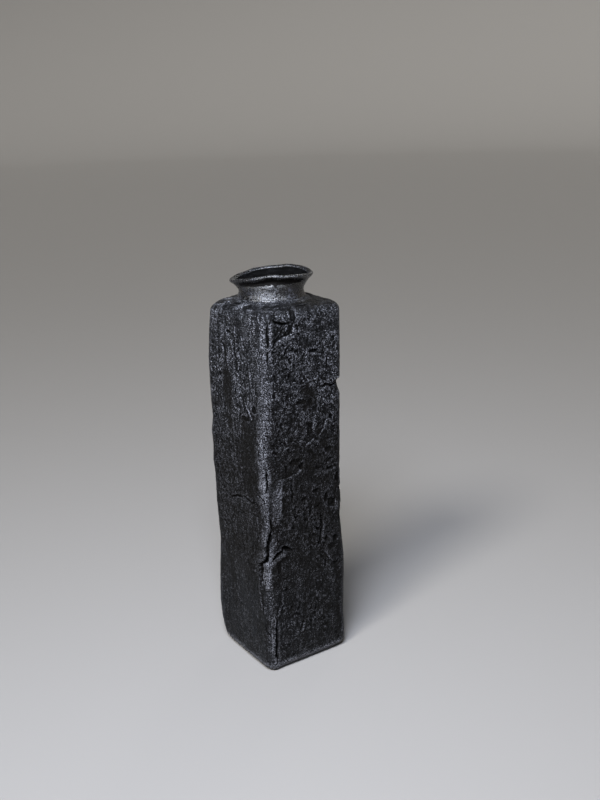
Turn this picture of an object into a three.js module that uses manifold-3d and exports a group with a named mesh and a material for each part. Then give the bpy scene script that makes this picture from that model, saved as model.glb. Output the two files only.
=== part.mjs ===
// A slab-built stoneware bottle vase: a tall square body with a short round neck and a flared lip.
// The clay members are modelled as the potter joins them, each separated by its joint of slip:
// a floor slab, four mitred wall slabs, a shoulder slab and a thrown collar, with soft coils of
// clay pressed into the inside of every seam and around the foot of the neck.
// Millimetres, +Z up. The origin is the middle of the underside. The front wall faces -Y.

import * as THREE from "three";
import { mergeVertices } from "three/addons/utils/BufferGeometryUtils.js";
import Module from "manifold-3d";

const wasm = await Module();
wasm.setup();

// ---- Driving dimensions ----

const SIDE = 52; // outside width of the square body
const ARRIS = 5.5; // outside radius of the paddled vertical corners
const SLAB = 5; // thickness of the rolled wall slabs
const FLOOR = 6; // thickness of the floor slab
const FOOT_BEVEL = 1.6; // rounding of the floor slab's lower edge
const SLIP = 0.3; // joint of slip between two clay members
const WALL_TOP = 191.5; // height of the walls' upper edge
const TWIST = THREE.MathUtils.degToRad(4.3); // how far the body turns from foot to shoulder
const COIL = 4.5; // leg of the coils pressed into the inside seams
const LIFTS = 8; // level steps that a turned wall is divided into
const AROUND = 48; // sides of the round parts

const PLATE_TOP = 196.3; // upper face of the shoulder slab at its edge
const SHOULDER_ROUND = 4.4; // rounding of the shoulder slab's upper edge
const SHOULDER_ARRIS = 6.2; // outside radius of the shoulder slab's corners
const MOUND_TOP = 197.6; // the seat that the neck stands on
const MOUND_SINK = 0.6; // how far the slope's outer edge sinks into the rounded shoulder
const MOUND_SPREAD = 2.9; // how far the slope up to the seat runs out past the neck's coil
const THROAT = 13.7; // inside radius of the neck

const NECK_FOOT = 16.9; // outside radius where the neck meets the shoulder
const NECK_WAIST = 16.5; // outside radius at the narrowest place
const LIP_RADIUS = 20.9; // outside radius of the flared lip
const LIP_TOP = 211.4; // height of the lip before it sways
const LIP_THICKNESS = 1.9; // thickness of the lip at its rounded edge
const LIP_FLARE = 3.6; // how far out the mouth's flare starts, inside
const LIP_TILT = 0.045; // slope of the mouth, rising towards LIP_HIGH_SIDE
const LIP_DIP = 0.7; // how far the lip droops on the tilt's own line
const LIP_HIGH_SIDE = THREE.MathUtils.degToRad(-36); // direction of the mouth's high side
const NECK_COIL = 4.2; // width of the coil worked in around the foot of the neck
const NECK_COIL_RISE = 3.4; // how far up the neck that coil is worked

const HALF = SIDE / 2;
const CAVITY = HALF - SLAB; // half width of the inside
const WALL_FOOT = FLOOR + SLIP; // the walls stand on the floor slab
const SEAT = CAVITY - SLIP; // half width that the inside coils reach to

// ---- Clay colours ----

const BLACK_CLAY = { color: 0x2b2b2d, roughness: 0.62, metalness: 0 };
const SMOOTH_CLAY = { color: 0x343437, roughness: 0.45, metalness: 0 };
const RAW_CLAY = { color: 0x262526, roughness: 0.85, metalness: 0 };

const body = new THREE.Group();

function addPiece(name, geometry, clay, turn = 0) {
  const mesh = new THREE.Mesh(geometry, new THREE.MeshStandardMaterial(clay));
  mesh.name = name;
  mesh.rotation.z = turn;
  body.add(mesh);
}

// ---- Solids: booleans are done by manifold-3d ----

function toSolid(geometry) {
  const bare = geometry.clone();
  bare.deleteAttribute("normal");
  bare.deleteAttribute("uv");
  const merged = mergeVertices(bare, 1e-4);
  return new wasm.Manifold(
    new wasm.Mesh({
      numProp: 3,
      vertProperties: merged.attributes.position.array,
      triVerts: new Uint32Array(merged.index.array),
    }),
  );
}

function toGeometry(solid) {
  const mesh = solid.getMesh();
  const points = new THREE.BufferAttribute(mesh.vertProperties, mesh.numProp);
  const geometry = new THREE.BufferGeometry();
  geometry.setAttribute("position", points);
  geometry.setIndex(new THREE.BufferAttribute(mesh.triVerts, 1));
  geometry.computeVertexNormals();
  return geometry;
}

// Moves every vertex of a geometry to where place(point) puts it.
function reshape(geometry, place) {
  const points = geometry.attributes.position;
  const point = new THREE.Vector3();
  for (let i = 0; i < points.count; i += 1) {
    place(point.fromBufferAttribute(points, i));
    points.setXYZ(i, point.x, point.y, point.z);
  }
  geometry.computeVertexNormals();
  return geometry;
}

// The whole square body turns a little as it rises, by half of TWIST each way from its middle.
const UPRIGHT = new THREE.Vector3(0, 0, 1);

function twist(geometry) {
  return reshape(geometry, (point) => {
    const rise = point.z / WALL_TOP - 0.5;
    point.applyAxisAngle(UPRIGHT, TWIST * rise);
  });
}

function roundedSquare(half, radius) {
  const straight = half - radius;
  const shape = new THREE.Shape();
  shape.moveTo(-straight, -half);
  shape.absarc(straight, -straight, radius, -Math.PI / 2, 0);
  shape.absarc(straight, straight, radius, 0, Math.PI / 2);
  shape.absarc(-straight, straight, radius, Math.PI / 2, Math.PI);
  shape.absarc(-straight, -straight, radius, Math.PI, Math.PI * 1.5);
  return shape;
}

// ---- Floor slab: a square slab with its lower edge rounded under ----

function floorSlab() {
  const slab = new THREE.ExtrudeGeometry(
    roundedSquare(HALF - FOOT_BEVEL, ARRIS - FOOT_BEVEL),
    {
      depth: FLOOR,
      bevelSize: FOOT_BEVEL,
      bevelThickness: FOOT_BEVEL,
      bevelSegments: 3,
      curveSegments: 6,
    },
  );
  slab.translate(0, 0, FOOT_BEVEL);
  const keep = new THREE.BoxGeometry(SIDE * 2, SIDE * 2, FLOOR);
  keep.translate(0, 0, FLOOR / 2);
  return toGeometry(toSolid(slab).intersect(toSolid(keep)));
}

addPiece("floor_slab", twist(floorSlab()), RAW_CLAY);

// ---- Wall slabs: four alike, mitred at the corners, standing on the floor slab ----

function wallSlab() {
  const centre = HALF - ARRIS;
  const gap = SLIP / 2 / ARRIS; // half the slip joint, as an angle on the outside arc
  const inner = CAVITY - SLIP * Math.SQRT1_2;
  const section = new THREE.Shape();
  section.moveTo(-inner, -CAVITY);
  section.absarc(-centre, -centre, ARRIS, -Math.PI * 0.75 + gap, -Math.PI / 2);
  section.absarc(centre, -centre, ARRIS, -Math.PI / 2, -Math.PI / 4 - gap);
  section.lineTo(inner, -CAVITY);
  const slab = new THREE.ExtrudeGeometry(section, {
    depth: WALL_TOP - WALL_FOOT,
    steps: LIFTS,
    curveSegments: 5,
    bevelEnabled: false,
  });
  slab.translate(0, 0, WALL_FOOT);
  return twist(slab);
}

const WALLS = ["wall_front", "wall_right", "wall_back", "wall_left"];
WALLS.forEach((name, k) => {
  addPiece(name, wallSlab(), BLACK_CLAY, (k * Math.PI) / 2);
});

// ---- Seam coils inside: one up each corner, and a ring at the floor and under the shoulder ----

function cornerCoil() {
  const near = SEAT - COIL;
  const section = new THREE.Shape();
  section.moveTo(near, -SEAT);
  section.lineTo(SEAT, -SEAT);
  section.lineTo(SEAT, -near);
  section.absarc(near, -near, COIL, 0, -Math.PI / 2, true);
  const foot = WALL_FOOT + COIL + SLIP;
  const coil = new THREE.ExtrudeGeometry(section, {
    depth: WALL_TOP - COIL - SLIP - foot,
    steps: LIFTS,
    curveSegments: 5,
    bevelEnabled: false,
  });
  coil.translate(0, 0, foot);
  return twist(coil);
}

const CORNERS = ["front_right", "back_right", "back_left", "front_left"];
CORNERS.forEach((corner, k) => {
  addPiece(`coil_${corner}`, cornerCoil(), RAW_CLAY, (k * Math.PI) / 2);
});

// A square ring of clay with its inner side sloping; wideEnd is +1 when it opens upwards.
function ringCoil(foot, wideEnd) {
  const ring = new THREE.BoxGeometry(SEAT * 2, SEAT * 2, COIL);
  const wide = (SEAT - SLIP) * Math.SQRT2;
  const narrow = wide - COIL * Math.SQRT2;
  const [top, bottom] = wideEnd > 0 ? [wide, narrow] : [narrow, wide];
  const hollow = new THREE.CylinderGeometry(top, bottom, COIL + SLIP / 10, 4);
  hollow.rotateY(Math.PI / 4);
  hollow.rotateX(Math.PI / 2);
  const cut = toGeometry(toSolid(ring).subtract(toSolid(hollow)));
  return twist(cut.translate(0, 0, foot + COIL / 2));
}

addPiece("coil_floor", ringCoil(WALL_FOOT, 1), RAW_CLAY);
addPiece("coil_shoulder", ringCoil(WALL_TOP - COIL, -1), RAW_CLAY);

// ---- Shoulder slab: a square plate, rounded over at its edge, raised where the neck stands ----

function shoulderSlab() {
  const foot = WALL_TOP + SLIP;
  const plate = new THREE.ExtrudeGeometry(
    roundedSquare(HALF - SHOULDER_ROUND, SHOULDER_ARRIS - SHOULDER_ROUND),
    {
      depth: SHOULDER_ROUND,
      bevelSize: SHOULDER_ROUND,
      bevelThickness: SHOULDER_ROUND,
      bevelSegments: 5,
      curveSegments: 6,
    },
  );
  plate.translate(0, 0, PLATE_TOP - SHOULDER_ROUND * 2);
  const keep = new THREE.BoxGeometry(SIDE * 2, SIDE * 2, SIDE);
  keep.translate(0, 0, foot + SIDE / 2);
  const rise = new THREE.Path();
  const seat = NECK_FOOT + NECK_COIL;
  const reach = seat + MOUND_SPREAD;
  rise.moveTo(0, foot + SLIP);
  rise.lineTo(reach, foot + SLIP);
  rise.lineTo(reach, PLATE_TOP - MOUND_SINK);
  rise.quadraticCurveTo(seat + SLIP, PLATE_TOP, seat, MOUND_TOP);
  rise.lineTo(0, MOUND_TOP);
  const mound = new THREE.LatheGeometry(rise.getPoints(4), AROUND);
  mound.rotateX(Math.PI / 2);
  const hole = new THREE.CylinderGeometry(THROAT, THROAT, SIDE, AROUND);
  hole.rotateX(Math.PI / 2);
  hole.translate(0, 0, PLATE_TOP);
  return toGeometry(
    toSolid(plate).intersect(toSolid(keep)).add(toSolid(mound)).subtract(toSolid(hole)),
  );
}

addPiece("shoulder_slab", twist(shoulderSlab()), SMOOTH_CLAY);

// ---- Neck: a thrown collar that flares to its lip, and the coil worked in around its foot ----

function neckCollar() {
  const foot = MOUND_TOP + SLIP;
  const section = new THREE.Path();
  const height = LIP_TOP - foot;
  const under = LIP_TOP - LIP_THICKNESS;
  section.moveTo(THROAT, foot);
  section.lineTo(NECK_FOOT, foot);
  section.bezierCurveTo(NECK_WAIST, foot + height / 4, NECK_WAIST, foot + height / 2, LIP_RADIUS, under);
  section.quadraticCurveTo(LIP_RADIUS, LIP_TOP, LIP_RADIUS - LIP_THICKNESS, LIP_TOP);
  section.bezierCurveTo(THROAT + LIP_FLARE, under, THROAT, foot + height / 2, THROAT, foot + height / 3);
  section.lineTo(THROAT, foot);
  const collar = new THREE.LatheGeometry(section.getPoints(7), AROUND);
  collar.rotateX(Math.PI / 2);
  return reshape(collar, (point) => {
    const up = THREE.MathUtils.smoothstep(point.z, foot, LIP_TOP);
    const reach = Math.hypot(point.x, point.y);
    const around = Math.atan2(point.y, point.x) - LIP_HIGH_SIDE;
    const tilt = LIP_TILT * reach * Math.cos(around);
    const dip = LIP_DIP * Math.cos(2 * around) * (reach / LIP_RADIUS);
    point.z += up * (tilt - dip);
  });
}

function neckCoil() {
  const foot = MOUND_TOP + SLIP;
  const inside = NECK_FOOT + SLIP;
  const outside = NECK_FOOT + NECK_COIL - SLIP;
  const section = new THREE.Path();
  section.moveTo(inside, foot);
  section.lineTo(outside, foot);
  section.lineTo(outside, foot + SLIP);
  section.quadraticCurveTo(inside, foot + SLIP, inside, foot + NECK_COIL_RISE);
  section.lineTo(inside, foot);
  const coil = new THREE.LatheGeometry(section.getPoints(4), AROUND);
  return coil.rotateX(Math.PI / 2);
}

addPiece("neck_collar", neckCollar(), SMOOTH_CLAY);
addPiece("coil_neck", neckCoil(), SMOOTH_CLAY);

export default body;
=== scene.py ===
import math

import bpy
import numpy as np
from mathutils import Matrix, Vector


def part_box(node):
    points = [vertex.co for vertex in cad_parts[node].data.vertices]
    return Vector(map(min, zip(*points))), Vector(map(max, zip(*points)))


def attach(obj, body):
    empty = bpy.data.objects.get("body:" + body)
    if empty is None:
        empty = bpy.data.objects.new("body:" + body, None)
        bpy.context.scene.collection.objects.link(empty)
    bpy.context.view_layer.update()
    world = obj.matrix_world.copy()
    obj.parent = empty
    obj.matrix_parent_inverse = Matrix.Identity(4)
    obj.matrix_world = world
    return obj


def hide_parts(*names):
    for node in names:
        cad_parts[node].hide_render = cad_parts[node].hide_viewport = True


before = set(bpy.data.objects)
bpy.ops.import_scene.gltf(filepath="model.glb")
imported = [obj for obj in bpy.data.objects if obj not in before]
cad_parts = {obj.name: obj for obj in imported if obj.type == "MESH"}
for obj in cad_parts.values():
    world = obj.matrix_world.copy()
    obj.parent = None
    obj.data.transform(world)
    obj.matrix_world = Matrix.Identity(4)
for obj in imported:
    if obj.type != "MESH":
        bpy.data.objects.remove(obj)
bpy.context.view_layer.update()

# ---- Floor slab and the four walls ----------------------------------------------------------
# Five slabs of black stoneware, rolled to 5 mm. The walls are mitred and stand on the floor slab,
# which was cut with a wire and left bare underneath. Their faces were torn and scraped while
# leather hard, the foot was rubbed round on a wet bench, and the arrises cracked as they dried.

MM = 0.001
SIDE = 52.0  # width of the body across its flats, in mm, like every size that follows
ARRIS = 5.5  # radius that the corners were paddled to
TWIST = math.radians(4.3)  # how far the wet body turned between foot and shoulder
FLAT = SIDE / 2 - ARRIS
FACE = 2 * FLAT + ARRIS * math.pi / 2  # along the outside of one wall, mitre to mitre
FLOOR_SEAM = (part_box("floor_slab")[1].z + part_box("wall_front")[0].z) / 2 / MM
SHOULDER_SEAM = (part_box("wall_front")[1].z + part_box("shoulder_slab")[0].z) / 2 / MM
BODY_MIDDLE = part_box("wall_front")[1].z / 2 / MM

SPACING = 0.34  # distance between the points that the clay surface is modelled with
FACE_COLUMNS = round(FACE / SPACING)


def smooth(low, high, value):
    """0 below low, 1 above high, and an even curve between them."""
    share = np.clip((value - low) / (high - low), 0, 1)
    return share * share * (3 - 2 * share)


def body_outline(run, out=0.0):
    """x and y of points `run` along the outside of the body, from the front left arris to the
    right, and `out` proud of it."""
    wall = np.floor(run / FACE)
    along = run - FACE * (wall + 0.5)
    turn = np.sign(along) * np.clip((np.abs(along) - FLAT) / ARRIS, 0, None)
    x = np.clip(along, -FLAT, FLAT) + (ARRIS + out) * np.sin(turn)
    y = -FLAT - (ARRIS + out) * np.cos(turn)
    quarter = wall * math.pi / 2
    cos, sin = np.cos(quarter), np.sin(quarter)
    return x * cos - y * sin, x * sin + y * cos


def twisted(points):
    """The same points after the wet body turned about its upright axis."""
    angle = TWIST * (points[..., 2] / (2 * BODY_MIDDLE) - 0.5)
    cos, sin = np.cos(angle), np.sin(angle)
    x, y = points[..., 0], points[..., 1]
    return np.stack([x * cos - y * sin, x * sin + y * cos, points[..., 2]], axis=-1)


slopes = np.random.default_rng(7).normal(size=(256, 3))
slopes /= np.linalg.norm(slopes, axis=1, keepdims=True)


def lumps(points, size, layer=0, stretch=(1, 1, 1)):
    """Smooth lumps and dips between about -1 and 1, each about `size` across.
    Another layer gives other lumps, and stretch draws them out along x, y or z."""
    away = 37.3 * (layer + 1)  # each layer is read from another part of the same pattern
    spot = points / (np.array(stretch) * size) + away
    cell = np.floor(spot).astype(np.int64)
    inside = spot - cell
    ease = inside**3 * (inside * (inside * 6 - 15) + 10)
    total = np.zeros(points.shape[:-1])
    for corner in np.ndindex(2, 2, 2):
        # Large primes scatter the slopes, so that no pattern is seen to repeat.
        pick = (cell + corner) * np.array([73856093, 19349663, 83492791])
        slope = slopes[(pick[..., 0] ^ pick[..., 1] ^ pick[..., 2] ^ layer * 2654435) & 255]
        weight = np.prod(np.where(corner, ease, 1 - ease), axis=-1)
        total += weight * np.sum(slope * (inside - corner), axis=-1)
    return total * 1.6  # the highest lumps come up to about 1


# Heights of the rows that the body is modelled in, with one row on each seam.
CROWN = 197.0  # level that the shoulder rises to at the foot of the neck's slope
heights = np.concatenate([
    np.linspace(0, FLOOR_SEAM, round(FLOOR_SEAM / SPACING), endpoint=False),
    np.linspace(
        FLOOR_SEAM, SHOULDER_SEAM, round((SHOULDER_SEAM - FLOOR_SEAM) / SPACING), endpoint=False
    ),
    np.linspace(SHOULDER_SEAM, CROWN, round((CROWN - SHOULDER_SEAM) / SPACING)),
])
floor_row = int(np.searchsorted(heights, FLOOR_SEAM - 1e-6))
shoulder_row = int(np.searchsorted(heights, SHOULDER_SEAM - 1e-6))
runs = np.arange(4 * FACE_COLUMNS) * FACE / FACE_COLUMNS
RUN, HEIGHT = np.meshgrid(runs, heights)
X, Y = body_outline(RUN)
SURFACE = np.stack([X, Y, HEIGHT], axis=-1)


def around(run, centre):
    """Signed distance along the outside from `centre`, the short way around the body."""
    return (run - centre + 2 * FACE) % (4 * FACE) - 2 * FACE


# How far the arrises that show at the sides stray out, by height, from the potter's paddling.
ARRIS_WANDER = {
    -1: [
        (0, -2.4), (4, -1.1), (9, 0), (13, 0.6), (24, 1.3), (39, 0.7), (63, -0.8), (85, 0), (102, 0),
        (109, 0.7), (118, 0.1), (126, 0.6), (134, -0.5), (146, 0.1), (167, 0), (181, -1.1),
        (192, -2.4), (197, -3),
    ],
    1: [
        (0, -1.2), (4, -0.1), (9, 0.3), (20, -0.3), (45, 0.4), (55, 0.5), (69, -0.6), (79, -1.4),
        (87, -0.7), (101, -1), (121, -0.7), (146, -0.3), (160, 0), (176, 0.2), (192, 0.3), (197, -0.4),
    ],
}
ARRIS_REACH = 6.5  # how far from an arris its stray is felt

# A slow swell over the whole body, then the stray of its two side arrises.
relief = 0.42 * lumps(SURFACE, 46, 1) + 0.24 * lumps(SURFACE, 17, 2)
for side, wander in ARRIS_WANDER.items():
    level, stray = np.array(wander, float).T
    nearness = np.exp(-(around(RUN, side * FACE) / ARRIS_REACH) ** 2)
    relief = relief * (1 - 0.8 * nearness) + nearness * np.interp(HEIGHT, level, stray)

# How close each point is to the middle of an arris, and whether it is on a torn face
# (front and back) or a scraped one (left and right).
mid_wall = np.abs((RUN / FACE) % 1 - 0.5) * FACE
near_arris = smooth(FLAT - 1.5, FLAT + 2.5, mid_wall)
facing = (np.floor(RUN / FACE) % 2 == 0).astype(float)
edge_blend = smooth(FACE / 2 - 3.5, FACE / 2, mid_wall) * 0.5
torn_face = facing * (1 - edge_blend) + (1 - facing) * edge_blend
scraped_face = 1 - torn_face
FINEST_LUMP = 0.6  # the size of the grit


def crumbled(points, size, layer, stretch=(1, 1, 1), coarseness=0.62):
    """Lumps with smaller lumps on them, down to the size of the grit."""
    total, share, weight = np.zeros(points.shape[:-1]), 1.0, 0.0
    while size > FINEST_LUMP:
        total += share * lumps(points, size, layer, stretch)
        weight += share
        share *= coarseness
        size /= 2.1  # a little under half the size each time, so that no two sizes line up
        layer += 40
    return total / weight ** 0.5


# The torn faces: the slab was stretched until its skin broke into pits and raised flakes. The
# wet skin was dragged about as it tore, so the lumps are bent out of line.
drag = np.stack([lumps(SURFACE, 5, layer) for layer in (27, 28, 29)], axis=-1) * 1.6
SURFACE_DRAGGED = SURFACE + drag
fine = lumps(SURFACE, 1.3, 3)
grit = lumps(SURFACE, 0.75, 4)
patchy = smooth(-0.35, 0.45, lumps(SURFACE, 15, 30))
broken = crumbled(SURFACE_DRAGGED, 5.5, 5)
pits = smooth(0.42, 1.0, crumbled(SURFACE_DRAGGED, 2.6, 6, coarseness=0.75) + 0.3 * patchy)
plates = smooth(0.0, 0.10, crumbled(SURFACE_DRAGGED, 6.5, 7, coarseness=0.7))
torn = 0.34 * broken + 0.14 * plates - 0.72 * pits * (0.4 + 0.6 * patchy) + 0.14 * fine + 0.17 * grit
torn_level = np.interp(HEIGHT, [0, 4, 30, 62, 80, 140, 165, 192, 197],
                       [0.2, 0.6, 0.8, 0.9, 1.1, 1.1, 0.85, 0.7, 0.3])

# The scraped faces: a rough stick was dragged up the wet clay and left bark-like furrows.
UPWARD = (1, 1, 5.0)
bark = crumbled(SURFACE_DRAGGED, 2.6, 9, UPWARD, 0.75)
furrows = smooth(0.45, 1.0, crumbled(SURFACE_DRAGGED, 1.5, 10, UPWARD, 0.8))
scraped = 0.20 * bark - 0.40 * furrows * (0.3 + 0.7 * patchy) - 0.30 * pits + 0.16 * broken
scraped += 0.13 * fine + 0.14 * grit
scraped_level = np.interp(HEIGHT, [0, 5, 45, 62, 75, 150, 197],
                          [0.15, 0.5, 0.6, 0.75, 1, 1.05, 0.7])

texture = torn * torn_level * torn_face + scraped * scraped_level * scraped_face
relief += texture * (1 - 0.55 * near_arris)

# The foot's edge, rubbed round: it draws in towards the ground.
FOOT_ROUND = 4.2
foot = np.clip(1 - HEIGHT / FOOT_ROUND, 0, 1)
relief -= FOOT_ROUND * 0.75 * (1 - np.sqrt(1 - foot**2 * 0.98)) + 0.8 * foot
SHARP_EDGE = math.radians(62)  # clay folded more tightly than this shows a crisp edge


def clay_piece(name, loops, ring=False, marks=None):
    """A closed solid of clay from loops of points in mm, each joined to the one before.
    The end loops are closed over, or joined to each other to make a ring."""
    rows, columns = loops.shape[:2]
    index = np.arange(rows * columns).reshape(rows, columns)
    below = index if ring else index[:-1]
    above = np.roll(index, -1, axis=0) if ring else index[1:]
    quads = np.stack([below, np.roll(below, -1, 1), np.roll(above, -1, 1), above], axis=-1)
    faces = quads.reshape(-1, 4).tolist()
    if not ring:
        faces += [index[0, ::-1].tolist(), index[-1].tolist()]
    mesh = bpy.data.meshes.new(name)
    mesh.from_pydata((loops.reshape(-1, 3) * MM).tolist(), [], faces)
    mesh.validate()
    mesh.shade_smooth()
    mesh.set_sharp_from_angle(angle=SHARP_EDGE)
    for mark, values in (marks or {}).items():
        layer = mesh.attributes.new(mark, "FLOAT", "POINT")
        layer.data.foreach_set("value", values.reshape(-1).astype(np.float32))
    piece = bpy.data.objects.new(name, mesh)
    bpy.context.scene.collection.objects.link(piece)
    return piece


def soaked(field, reach):
    """The field averaged over `reach` points each way, joined around the body."""
    total = sum(np.roll(field, step, axis=1) for step in range(-reach, reach + 1))
    padded = np.pad(total, ((reach, reach), (0, 0)), mode="edge")
    rows = len(field)
    return sum(padded[step:step + rows] for step in range(2 * reach + 1)) / (2 * reach + 1) ** 2


def hollows(field):
    """From -1 on the crests, which are rubbed paler, to 1 deep in the hollows, which are painted dark
    as shade, from the relief.
    """
    fine_dips = (soaked(field, 5) - field) / 0.35
    broad_dips = (soaked(field, 15) - field) / 0.8
    return np.clip(0.65 * fine_dips + 0.5 * broad_dips, -1, 1)


def body_points(first, last, field):
    """Points of the body's outside for rows first to last, with its relief."""
    x, y = body_outline(RUN[first:last], field[first:last])
    return twisted(np.stack([x, y, HEIGHT[first:last]], axis=-1))


SLAB = 5.0  # thickness that the clay was rolled to
# Besides the fire's brown patches, this mark carries painted shade: the darker lower half, the neck's
# shadow on the shoulder and the shade under the lip.
burnt_and_shade = np.zeros_like(relief)  # where the fire left it browner and sootier
# Thin raised edges are painted paler: partly rubbed grit, partly painted highlight where they catch the
# light.
EDGES = np.zeros_like(relief)  # thin raised edges, which are rubbed paler than the rest
# Noise that the marks share: to tear their edges, bend them, vary their width and break them up.
ragged = 0.35 * lumps(SURFACE, 2.2, 11) + 0.18 * lumps(SURFACE, 0.9, 12)
crooked = 1.1 * ragged + 0.5 * lumps(SURFACE, 3.4, 34)
gaping = 1 + 0.6 * lumps(SURFACE, 2.8, 35)
rubbed_through = smooth(-0.35, 0.35, lumps(SURFACE, 1.9, 39) + 0.6 * grit)


def to_path(path):
    """For every point of the body: its distance from a path of (run, height) points, which side
    of it it is on (positive on the left hand of someone walking it), and how far along it is."""
    path = np.array(path, float)
    closest = np.full(RUN.shape, 1e9)
    side = np.zeros(RUN.shape)
    along = np.zeros(RUN.shape)
    lengths = np.hypot(*np.diff(path, axis=0).T)
    walked = 0.0
    for (run_a, up_a), (run_b, up_b), length in zip(path, path[1:], lengths):
        dx, dz = around(RUN, run_a), HEIGHT - up_a
        ux, uz = (run_b - run_a) / length, (up_b - up_a) / length
        share = np.clip(dx * ux + dz * uz, 0, length)
        gap = np.hypot(dx - share * ux, dz - share * uz)
        nearer = gap < closest
        closest = np.where(nearer, gap, closest)
        side = np.where(nearer, np.sign(ux * dz - uz * dx), side)
        along = np.where(nearer, walked + share, along)
        walked += length
    return closest, side, along / walked


def crack(path, width, depth, taper=0.25):
    """A ragged crack that opens the clay along the path and closes at its ends."""
    global relief
    gap, side, along = to_path(path)
    ends = smooth(0, taper, along) * smooth(1, 1 - taper, along)
    gap = np.abs(gap + crooked * width * side)
    width = width * (0.45 + 0.55 * ends) * gaping
    relief = relief - depth * (0.35 + 0.65 * ends) * smooth(width, width * 0.35, gap)


def lip(path, width, height):
    """A rounded ridge of clay squeezed up along the path."""
    global relief, EDGES
    gap, side, along = to_path(path)
    ends = smooth(0, 0.15, along) * smooth(1, 0.85, along)
    relief = relief + height * ends * np.exp(-((gap + 0.4 * ragged) / width) ** 2)
    rubbed_and_highlit = 0.5 * ends * np.exp(-((gap + 0.9 * ragged) / (0.55 * width)) ** 2)
    EDGES = np.maximum(EDGES, rubbed_and_highlit * (0.3 + 0.7 * rubbed_through))


def flake(path, height, reach):
    """A torn edge: the clay stands up along the path and falls away slowly on its left."""
    global relief, EDGES
    gap, side, along = to_path(path)
    ends = smooth(0, 0.2, along) * smooth(1, 0.8, along)
    signed = gap * side + 0.8 * ragged
    EDGES = np.maximum(EDGES, 0.8 * ends * rubbed_through * np.exp(-((signed - 0.1) / 0.34) ** 2))
    step = smooth(-0.25, 0.15, signed) * np.exp(-np.clip(signed, 0, None) / reach)
    relief = relief + height * ends * step


def pit(run, up, wide, tall, depth):
    """A shallow hole with a ragged edge."""
    global relief
    away = np.hypot(around(RUN, run) / wide, (HEIGHT - up) / tall) + 0.5 * ragged
    relief = relief - depth * smooth(1.05, 0.55, away)


# The front left arris: a strip of slurry smoothed over the mitre, that wanders as it climbs.
strip_up, strip_run, strip_wide = np.array([
    (0, 2.6, 3.0), (13, 2.4, 2.6), (31, 1.4, 2.4), (49, -0.2, 2.6), (60, -0.6, 3.2),
    (70, 0.6, 3.4), (84, -0.6, 2.2), (97, -1.0, 3.4), (112, -1.8, 3.8), (130, -1.8, 4.0),
    (153, 0.0, 3.6), (175, 1.0, 3.4), (197, 1.6, 3.2),
]).T
off_strip = around(RUN, 0) - np.interp(HEIGHT, strip_up, strip_run)
strip_half = np.interp(HEIGHT, strip_up, strip_wide)
frayed = 1.5 * lumps(SURFACE, 4.5, 31) + 2.4 * ragged
strip = smooth(1.8, -0.1, np.abs(off_strip + frayed) / strip_half)
relief = relief * (1 - 0.3 * strip) + 0.22 * strip + 0.10 * (grit + fine) * strip
# The strip is painted paler, more at some heights than at others: partly rubbed grit, partly painted
# highlight where the arris catches the light.
ARRIS_WEAR_AND_HIGHLIGHT = strip * np.interp(HEIGHT, [0, 40, 60, 85, 100, 135, 155, 197],
                               [0.5, 0.4, 0.9, 0.5, 1, 0.9, 0.55, 0.45])
# Hands and the bench also rubbed the edge of the foot and the other three arrises.
foot_edge = np.exp(-((HEIGHT - 3.4 + 2 * ragged) / 1.7) ** 2)
ARRIS_WEAR_AND_HIGHLIGHT = np.maximum(ARRIS_WEAR_AND_HIGHLIGHT, 0.9 * foot_edge)
for side in (-1, 1, 2):
    rubbed_and_highlit = np.exp(-((around(RUN, side * FACE) + ragged) / 2.2) ** 2)
    ARRIS_WEAR_AND_HIGHLIGHT = np.maximum(ARRIS_WEAR_AND_HIGHLIGHT, 0.5 * rubbed_and_highlit)
# The strip's right-hand edge stands up over the front wall below the shoulder.
flake([(3.4, 150), (4.6, 158), (4.2, 166), (5.4, 173)], 0.15, 2.5)

# Under the shoulder at the front arris: a recess, two dribbles of slurry and a tongue of clay.
recess = smooth(4.0, 7.6, RUN + 0.8 * ragged) * smooth(18, 14.4, RUN + 0.8 * ragged)
recess = recess * smooth(182.5, 186.5, HEIGHT + 0.35 * around(RUN, 10) + ragged)
relief = relief - 0.25 * recess
lip([(-0.4, 194.5), (-0.1, 190), (-0.4, 184), (-1.2, 178)], 1.0, 0.4)
lip([(4.4, 193), (4.4, 189), (4.0, 180), (3.6, 172)], 1.0, 0.4)
crack([(2.3, 193), (2.2, 188), (2.5, 180)], 0.9, 0.5)
flake([(24, 194.6), (20.4, 192.8), (18.0, 189.2), (16.6, 184.6), (12.4, 184.0), (7.4, 182.2),
       (5.4, 178.6)], 0.8, 4.0)
crack([(8.1, 184), (4.8, 180), (2.0, 177), (1.9, 170)], 0.5, 0.7)
# The shoulder's own edge overhangs them as a ledge, dark underneath.
LEDGE = [
    (-2.6, 196.6), (-0.6, 195.4), (3.0, 194.2), (5.6, 193.2), (8.4, 192.0), (12.5, 191.0),
    (16.0, 190.8), (18.6, 192.0), (20.6, 193.4), (23.5, 194.6),
]
ledge_run, ledge_up = np.array(LEDGE).T
ledge = np.interp(around(RUN, 0), ledge_run, ledge_up)
over_ledge = smooth(-0.2, 0.3, HEIGHT - ledge + 0.5 * ragged)
ledge_reach = smooth(-5, -1, around(RUN, 0)) * smooth(26, 20, around(RUN, 0))
relief = relief + ledge_reach * 0.3 * over_ledge
crack([(run, up - 0.6) for run, up in LEDGE[3:7]], 0.65, 1.1)

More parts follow.
